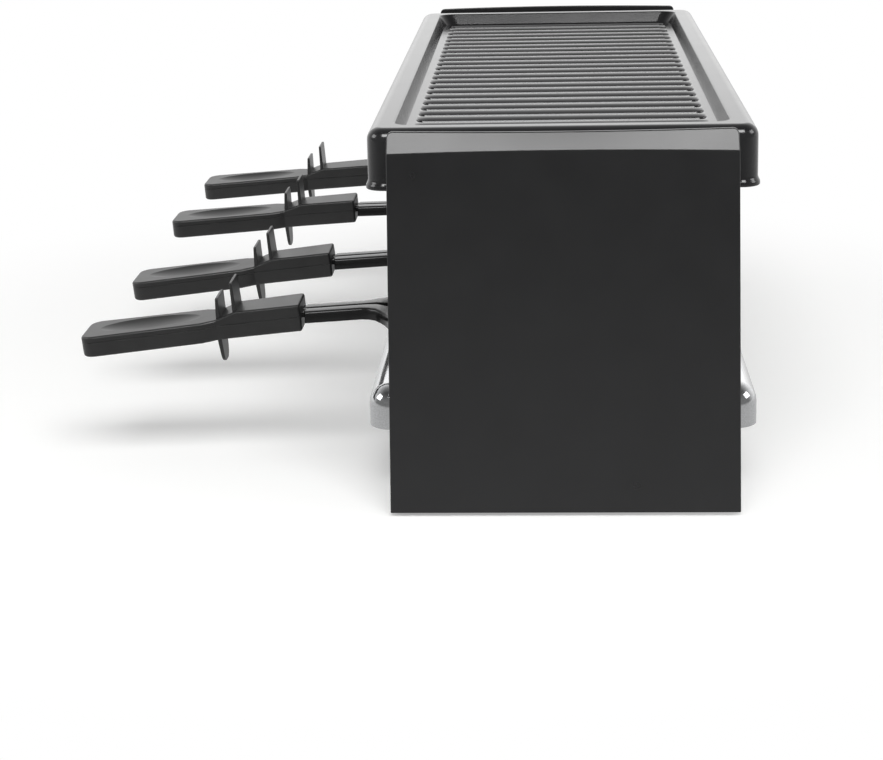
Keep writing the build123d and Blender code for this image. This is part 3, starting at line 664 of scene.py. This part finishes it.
def sprayedCoat(name, look):
    # sprayed and baked: orange peel breaks up a soft shine, and specks are grit in the coat
    material, tree, place = startMaterial(name)
    peel = addNode(tree, "ShaderNodeTexNoise",
                   {"Scale": 1 / (look["peel"] * mm), "Detail": 1.0}, {"Vector": place})
    drift = addNode(tree, "ShaderNodeTexNoise",
                    {"Scale": 1 / (look["drift"] * mm), "Detail": 2.0}, {"Vector": place})
    specks = addNode(tree, "ShaderNodeTexVoronoi", {"Scale": 1 / (look["speck"] * mm)},
                     {"Vector": place})
    colour = addNode(tree, "ShaderNodeValToRGB",
                     {"stops": ((0.3, look["shade"]), (0.7, look["colour"]))},
                     {"Fac": drift.outputs["Fac"]})
    rough = addNode(tree, "ShaderNodeMapRange",
                    {"To Min": look["rough"][0], "To Max": look["rough"][1]},
                    {"Value": drift.outputs["Fac"]})
    grit = addNode(tree, "ShaderNodeMapRange", {"From Max": 0.25, "To Min": 1.0, "To Max": 0.0},
                   {"Value": specks.outputs["Distance"]})
    gritBump = addNode(tree, "ShaderNodeBump",
                       {"Strength": look["gritBump"], "Distance": 0.03 * mm},
                       {"Height": grit.outputs["Result"]})
    bump = addNode(tree, "ShaderNodeBump", {"Strength": look["peelBump"], "Distance": 0.06 * mm},
                   {"Height": peel.outputs["Fac"], "Normal": gritBump.outputs["Normal"]})
    shader = addNode(tree, "ShaderNodeBsdfPrincipled", {"IOR": look["ior"]},
                     {"Base Color": colour.outputs["Color"],
                      "Roughness": rough.outputs["Result"], "Normal": bump.outputs["Normal"]})
    return finishMaterial(material, tree, shader)


def rolledSteel(name, look):
    # rolled or plated: faint lines along the rolling stretch the reflections, smudges dull them
    material, tree, place = startMaterial(name)
    fine = 1 / (look["line"] * mm)
    turned = addNode(tree, "ShaderNodeMapping",
                     {"Scale": (1 / (look["lineLength"] * mm), fine, fine)}, {"Vector": place})
    lines = addNode(tree, "ShaderNodeTexNoise", {"Scale": 1.0, "Detail": 2.0},
                    {"Vector": turned.outputs["Vector"]})
    smudge = addNode(tree, "ShaderNodeTexNoise",
                     {"Scale": 1 / (look["smudge"] * mm), "Detail": 3.0}, {"Vector": place})
    colour = addNode(tree, "ShaderNodeValToRGB",
                     {"stops": ((0.3, look["shade"]), (0.7, look["colour"]))},
                     {"Fac": lines.outputs["Fac"]})
    rough = addNode(tree, "ShaderNodeMapRange",
                    {"From Min": 0.3, "From Max": 0.7, "To Min": look["rough"][0],
                     "To Max": look["rough"][1]}, {"Value": smudge.outputs["Fac"]})
    bump = addNode(tree, "ShaderNodeBump", {"Strength": look["lineBump"], "Distance": 0.01 * mm},
                   {"Height": lines.outputs["Fac"]})
    shader = addNode(tree, "ShaderNodeBsdfPrincipled", {"Metallic": 1.0},
                     {"Base Color": colour.outputs["Color"],
                      "Roughness": rough.outputs["Result"], "Normal": bump.outputs["Normal"]})
    return finishMaterial(material, tree, shader)


def heatedSheath(name, look):
    # it has been red hot: straw and blue-grey oxide drift along it, and it is dull
    material, tree, place = startMaterial(name)
    narrow = 1 / (0.3 * look["tint"] * mm)
    along = addNode(tree, "ShaderNodeMapping",
                    {"Scale": (1 / (look["tint"] * mm), narrow, narrow)}, {"Vector": place})
    tint = addNode(tree, "ShaderNodeTexNoise", {"Scale": 1.0, "Detail": 2.0},
                   {"Vector": along.outputs["Vector"]})
    scale = addNode(tree, "ShaderNodeTexNoise",
                    {"Scale": 1 / (look["scale"] * mm), "Detail": 4.0}, {"Vector": place})
    colour = addNode(tree, "ShaderNodeValToRGB",
                     {"stops": ((0.35, look["blue"]), (0.65, look["straw"]))},
                     {"Fac": tint.outputs["Fac"]})
    rough = addNode(tree, "ShaderNodeMapRange",
                    {"To Min": look["rough"][0], "To Max": look["rough"][1]},
                    {"Value": scale.outputs["Fac"]})
    bump = addNode(tree, "ShaderNodeBump", {"Strength": 0.25, "Distance": 0.05 * mm},
                   {"Height": scale.outputs["Fac"]})
    shader = addNode(tree, "ShaderNodeBsdfPrincipled", {"Metallic": 1.0},
                     {"Base Color": colour.outputs["Color"],
                      "Roughness": rough.outputs["Result"], "Normal": bump.outputs["Normal"]})
    return finishMaterial(material, tree, shader)


def mouldedSkin(name, look):
    # moulded or pressed: an even fine grain spreads the shine, and a bloom dulls it in places
    material, tree, place = startMaterial(name)
    grain = addNode(tree, "ShaderNodeTexVoronoi",
                    {"feature": "SMOOTH_F1", "Scale": 1 / (look["grain"] * mm)},
                    {"Vector": place})
    bloom = addNode(tree, "ShaderNodeTexNoise",
                    {"Scale": 1 / (look["bloom"] * mm), "Detail": 3.0}, {"Vector": place})
    colour = addNode(tree, "ShaderNodeValToRGB",
                     {"stops": ((0.35, look["shade"]), (0.65, look["colour"]))},
                     {"Fac": bloom.outputs["Fac"]})
    rough = addNode(tree, "ShaderNodeMapRange",
                    {"To Min": look["rough"][0], "To Max": look["rough"][1]},
                    {"Value": bloom.outputs["Fac"]})
    bump = addNode(tree, "ShaderNodeBump", {"Strength": look["grainBump"], "Distance": 0.05 * mm},
                   {"Height": grain.outputs["Distance"]})
    shader = addNode(tree, "ShaderNodeBsdfPrincipled", {"IOR": look["ior"]},
                     {"Base Color": colour.outputs["Color"],
                      "Roughness": rough.outputs["Result"], "Normal": bump.outputs["Normal"]})
    return finishMaterial(material, tree, shader)


def lampLens(name, look):
    # clear plastic: some light goes in, and fine rings round its middle catch the eye
    material, tree, place = startMaterial(name)
    spotY, spotZ, across = look["hole"]
    centred = addNode(tree, "ShaderNodeMapping", {"Location": (0, -spotY * mm, -spotZ * mm)},
                      {"Vector": place})
    rings = addNode(tree, "ShaderNodeTexWave",
                    {"wave_type": "RINGS", "rings_direction": "X",
                     "Scale": wavePitch / (look["ring"] * mm)},
                    {"Vector": centred.outputs["Vector"]})
    colour = addNode(tree, "ShaderNodeValToRGB",
                     {"stops": ((0.2, look["shade"]), (0.8, look["colour"]))},
                     {"Fac": rings.outputs["Fac"]})
    bump = addNode(tree, "ShaderNodeBump", {"Strength": 0.15, "Distance": 0.1 * mm},
                   {"Height": rings.outputs["Fac"]})
    shader = addNode(tree, "ShaderNodeBsdfPrincipled",
                     {"IOR": 1.58, "Roughness": 0.1, "Transmission Weight": 0.25},
                     {"Base Color": colour.outputs["Color"], "Normal": bump.outputs["Normal"]})
    return finishMaterial(material, tree, shader)


def braidedSleeve(name, look):
    # yarn braided round the lead: two sets of crossing strands, dull and pale
    material, tree, place = startMaterial(name)
    strands = []
    for lean in (0.8, -0.8):
        turned = addNode(tree, "ShaderNodeMapping", {"Rotation": (lean, 0.6 * lean, lean)},
                         {"Vector": place})
        wave = addNode(tree, "ShaderNodeTexWave",
                       {"Scale": wavePitch / (look["strand"] * mm), "Distortion": 0.4},
                       {"Vector": turned.outputs["Vector"]})
        strands.append(wave.outputs["Fac"])
    braid = addNode(tree, "ShaderNodeMath", {"operation": "MAXIMUM"},
                    {0: strands[0], 1: strands[1]})
    colour = addNode(tree, "ShaderNodeValToRGB",
                     {"stops": ((0.1, look["shade"]), (0.8, look["colour"]))},
                     {"Fac": braid.outputs[0]})
    bump = addNode(tree, "ShaderNodeBump", {"Strength": 0.5, "Distance": 0.2 * mm},
                   {"Height": braid.outputs[0]})
    shader = addNode(tree, "ShaderNodeBsdfPrincipled", {"Roughness": 0.85, "Sheen Weight": 0.2},
                     {"Base Color": colour.outputs["Color"], "Normal": bump.outputs["Normal"]})
    return finishMaterial(material, tree, shader)


# by slot: how it was made, the finish's own name, then colours and sizes in millimetres
# grains under 0.5 mm would not show, so the finest are drawn at about 0.6 mm
finishes = {
    # satin black that turns a lamp into a soft grey sheen
    "casing_black": (sprayedCoat, "powderCoatedSteelBlack",
                     dict(colour="#1b1b1c", shade="#181819", peel=1.3, drift=22, speck=2.4,
                          rough=(0.26, 0.32), peelBump=0.12, gritBump=0.12, ior=1.55)),
    # the same black, but duller and less even
    "sheet_black": (sprayedCoat, "stovedEnamelSheetBlack",
                    dict(colour="#1c1c1c", shade="#171717", peel=1.8, drift=30, speck=3.0,
                         rough=(0.36, 0.46), peelBump=0.15, gritBump=0.15, ior=1.5)),
    # nearly a mirror, drawn out along the rolling lines
    "deck_polished": (rolledSteel, "brightRolledStainless",
                      dict(colour="#d8d9da", shade="#cccdce", line=0.6, lineLength=60, smudge=28,
                           rough=(0.09, 0.15), lineBump=0.1)),
    # pale silver with a cloudy, blurred shine
    "shield_steel": (rolledSteel, "aluminisedSteelSheet",
                     dict(colour="#b9b9b7", shade="#a5a5a3", line=1.5, lineLength=12, smudge=14,
                          rough=(0.26, 0.38), lineBump=0.3)),
    # slippery dark grey that mirrors a pale room at a low angle
    "plate_coated": (sprayedCoat, "nonStickCastAluminium",
                     dict(colour="#1f1f20", shade="#1b1b1c", peel=0.9, drift=16, speck=1.6,
                          rough=(0.14, 0.18), peelBump=0.025, gritBump=0.01, ior=1.6)),
    # dull metal, straw in places and blue-grey in others
    "element_steel": (heatedSheath, "heatTintedSteelSheath",
                      dict(straw="#5a4f3c", blue="#3a3c44", tint=40, scale=1.2,
                           rough=(0.38, 0.55))),
    # chalky cream with hardly any shine
    "bush_ceramic": (mouldedSkin, "firedSteatiteCeramic",
                     dict(colour="#e4ded0", shade="#d6cfbf", grain=0.6, bloom=6,
                          rough=(0.55, 0.68), grainBump=0.3, ior=1.55)),
    # flat black that takes the light away
    "foot_rubber": (mouldedSkin, "mouldedRubberBlack",
                    dict(colour="#1e1e1e", shade="#171717", grain=0.6, bloom=4,
                         rough=(0.72, 0.86), grainBump=0.4, ior=1.52)),
    # deep black with clear highlights that ripple a little
    "pan_coated": (sprayedCoat, "nonStickPressedSteel",
                   dict(colour="#171717", shade="#131313", peel=1.2, drift=18, speck=2.6,
                        rough=(0.19, 0.23), peelBump=0.05, gritBump=0.04, ior=1.45)),
    # dark grey with a wide soft sheen
    "handle_black": (mouldedSkin, "mouldedPhenolicBlack",
                     dict(colour="#232323", shade="#1e1e1e", grain=0.6, bloom=12,
                          rough=(0.34, 0.42), grainBump=0.12, ior=1.55)),
    # cool silver, crisp at the edges of a head
    "screw_steel": (rolledSteel, "zincPlatedSteel",
                    dict(colour="#c6c6c2", shade="#b2b3b1", line=0.6, lineLength=1.5, smudge=3,
                         rough=(0.2, 0.32), lineBump=0.2)),
    # black with a tighter sheen than the handles
    "switch_black": (mouldedSkin, "mouldedNylonBlack",
                     dict(colour="#1a1a1a", shade="#161616", grain=0.6, bloom=5,
                          rough=(0.22, 0.28), grainBump=0.08, ior=1.53)),
    # glassy red, darker between its rings
    "lamp_red": (lampLens, "redPolycarbonateLens",
                 dict(colour="#b0140f", shade="#7d0a08", ring=0.9,
                      hole=casingLook["lampHole"])),
    # off-white cloth with strands a little over a millimetre apart
    "lead_sleeve": (braidedSleeve, "braidedGlassSleeve",
                    dict(colour="#dcd6c4", shade="#b7b09c", strand=1.2)),
}
materials = {slot: make(name, look) for slot, (make, name, look) in finishes.items()}
slotOf = {part["node"]: part["material_slot"] for part in frame["record"]["subparts"]}
slots = {piece: slotOf[name] for name, piece in nodes.items()}
slots.update(dressed)
for piece, slot in slots.items():
    piece.data.materials.clear()
    piece.data.materials.append(materials[slot])
print("finishes on")

# floor: lit and shadowed near the grill and plain white further out; in reflections it is
# white behind the grill and dimmer ahead of it. Places in metres
floorLook = dict(size=9, colour="#e6e6e5", glow=0.25, fadeStart=0.16, fadeEnd=0.42,
                 mirrorFrom=-0.5, mirrorTo=0.9, mirrorFront=0.2, mirrorBack=0.95)
white = (1, 1, 1, 1)
onlySelect()
bpy.ops.mesh.primitive_plane_add(size=floorLook["size"], location=(0, 0, 0))
floor = bpy.context.object
floor.name = "floor"
floorMaterial, tree, place = startMaterial("paleFloor")
ray = addNode(tree, "ShaderNodeLightPath")
lit = addNode(tree, "ShaderNodeBsdfDiffuse", {"Color": linearColour(floorLook["colour"])})
seenGlow = addNode(tree, "ShaderNodeMath", {"operation": "MULTIPLY", 1: floorLook["glow"]},
                   {0: ray.outputs["Is Camera Ray"]})
glow = addNode(tree, "ShaderNodeEmission", {"Color": white}, {"Strength": seenGlow.outputs[0]})
near = addNode(tree, "ShaderNodeAddShader", links={0: lit.outputs[0], 1: glow.outputs[0]})
away = addNode(tree, "ShaderNodeVectorMath", {"operation": "LENGTH"}, {"Vector": place})
fade = addNode(tree, "ShaderNodeMapRange",
               {"interpolation_type": "SMOOTHSTEP", "From Min": floorLook["fadeStart"],
                "From Max": floorLook["fadeEnd"]}, {"Value": away.outputs["Value"]})
fadeSeen = addNode(tree, "ShaderNodeMath", {"operation": "MULTIPLY"},
                   {0: fade.outputs["Result"], 1: ray.outputs["Is Camera Ray"]})
plain = addNode(tree, "ShaderNodeEmission", {"Color": white, "Strength": 1.0})
far = addNode(tree, "ShaderNodeMixShader",
              links={"Fac": fadeSeen.outputs[0], 1: near.outputs[0], 2: plain.outputs[0]})
along = addNode(tree, "ShaderNodeSeparateXYZ", links={"Vector": place})
mirrorLevel = addNode(tree, "ShaderNodeMapRange",
                      {"From Min": floorLook["mirrorFrom"], "From Max": floorLook["mirrorTo"],
                       "To Min": floorLook["mirrorBack"], "To Max": floorLook["mirrorFront"]},
                      {"Value": along.outputs["X"]})
inMirror = addNode(tree, "ShaderNodeEmission", {"Color": white},
                   {"Strength": mirrorLevel.outputs["Result"]})
floorShader = addNode(tree, "ShaderNodeMixShader",
                      links={"Fac": ray.outputs["Is Glossy Ray"], 1: far.outputs[0],
                             2: inMirror.outputs[0]})
floor.data.materials.append(finishMaterial(floorMaterial, tree, floorShader))

# world: even pale light, white to the camera, and in reflections white behind the grill and
# dimmer ahead of it and overhead. Turn and rise are parts of a direction along X and Z
worldLook = dict(ambient=0.36, turnFrom=-0.75, turnTo=0.1, mirrorBack=1.12, mirrorFront=0.22,
                 riseFrom=0.38, riseTo=0.85, mirrorTop=0.35)
world = bpy.data.worlds.new("studio")
bpy.context.scene.world = world
world.use_nodes = True
tree = world.node_tree
tree.nodes.clear()
ray = addNode(tree, "ShaderNodeLightPath")
aimed = addNode(tree, "ShaderNodeTexCoord")
direction = addNode(tree, "ShaderNodeSeparateXYZ", links={"Vector": aimed.outputs["Generated"]})
mirrorTurn = addNode(tree, "ShaderNodeMapRange",
                     {"From Min": worldLook["turnFrom"], "From Max": worldLook["turnTo"],
                      "To Min": worldLook["mirrorBack"], "To Max": worldLook["mirrorFront"]},
                     {"Value": direction.outputs["X"]})
mirrorRise = addNode(tree, "ShaderNodeMapRange",
                     {"From Min": worldLook["riseFrom"], "From Max": worldLook["riseTo"],
                      "To Min": 1.0, "To Max": worldLook["mirrorTop"]},
                     {"Value": direction.outputs["Z"]})
mirrorLevel = addNode(tree, "ShaderNodeMath", {"operation": "MULTIPLY"},
                      {0: mirrorTurn.outputs["Result"], 1: mirrorRise.outputs["Result"]})
ambient = addNode(tree, "ShaderNodeBackground",
                  {"Color": white, "Strength": worldLook["ambient"]})
mirrorSky = addNode(tree, "ShaderNodeBackground", {"Color": white},
                    {"Strength": mirrorLevel.outputs[0]})
backdrop = addNode(tree, "ShaderNodeBackground", {"Color": white, "Strength": 1.0})
unseen = addNode(tree, "ShaderNodeMixShader",
                 links={"Fac": ray.outputs["Is Glossy Ray"], 1: ambient.outputs[0],
                        2: mirrorSky.outputs[0]})
sky = addNode(tree, "ShaderNodeMixShader",
              links={"Fac": ray.outputs["Is Camera Ray"], 1: unseen.outputs[0],
                     2: backdrop.outputs[0]})
addNode(tree, "ShaderNodeOutputWorld", links={"Surface": sky.outputs[0]})
print("floor and world set")

# lamps: place and target in metres, size in metres, power in watts
lamps = {
    "keySoftbox": dict(spot=(1.33, 0.15, 1.53), target=(0.05, 0.0, 0.1), size=(1.4, 0.72),
                       power=29),
    "backSoftbox": dict(spot=(-2.4, 0.1, 0.5), target=(0.0, 0.08, 0.15), size=(2.4, 0.55),
                        power=1.0),
    "leftSoftbox": dict(spot=(0.4, -1.75, 1.02), target=(0.1, 0.0, 0.1), size=(0.9, 0.75),
                        power=8),
    "rightSoftbox": dict(spot=(0.35, 1.9, 1.02), target=(0.1, 0.1, 0.1), size=(0.9, 0.75),
                         power=8),
}
for name, lamp in lamps.items():
    data = bpy.data.lights.new(name, "AREA")
    data.shape = "RECTANGLE"
    data.size, data.size_y = lamp["size"]
    data.energy = lamp["power"]
    light = bpy.data.objects.new(name, data)
    bpy.context.scene.collection.objects.link(light)
    light.location = lamp["spot"]
    aim = Vector(lamp["target"]) - Vector(lamp["spot"])
    light.rotation_euler = aim.to_track_quat("-Z", "Y").to_euler()

# camera, solved from the casing, plate and handles in the photograph: place in metres,
# angles in radians, lens and sensor in millimetres
cameraLook = dict(spot=(1.0051, 0.0595, 0.2950), pitch=0.2237, yaw=0.0544, roll=0.0214,
                  lens=83.94, sensor=36, shiftY=-0.1623)
cameraData = bpy.data.cameras.new("camera")
camera = bpy.data.objects.new("camera", cameraData)
bpy.context.scene.collection.objects.link(camera)
cameraData.sensor_width = cameraLook["sensor"]
cameraData.lens = cameraLook["lens"]
cameraData.shift_y = cameraLook["shiftY"]
camera.location = cameraLook["spot"]
turn = Euler((math.pi / 2 - cameraLook["pitch"], 0, math.pi / 2 + cameraLook["yaw"])).to_matrix()
camera.rotation_euler = (turn @ Matrix.Rotation(-cameraLook["roll"], 3, "Z")).to_euler()
bpy.context.scene.camera = camera
bpy.context.scene.view_settings.view_transform = "Standard"
print("camera and lamps set")
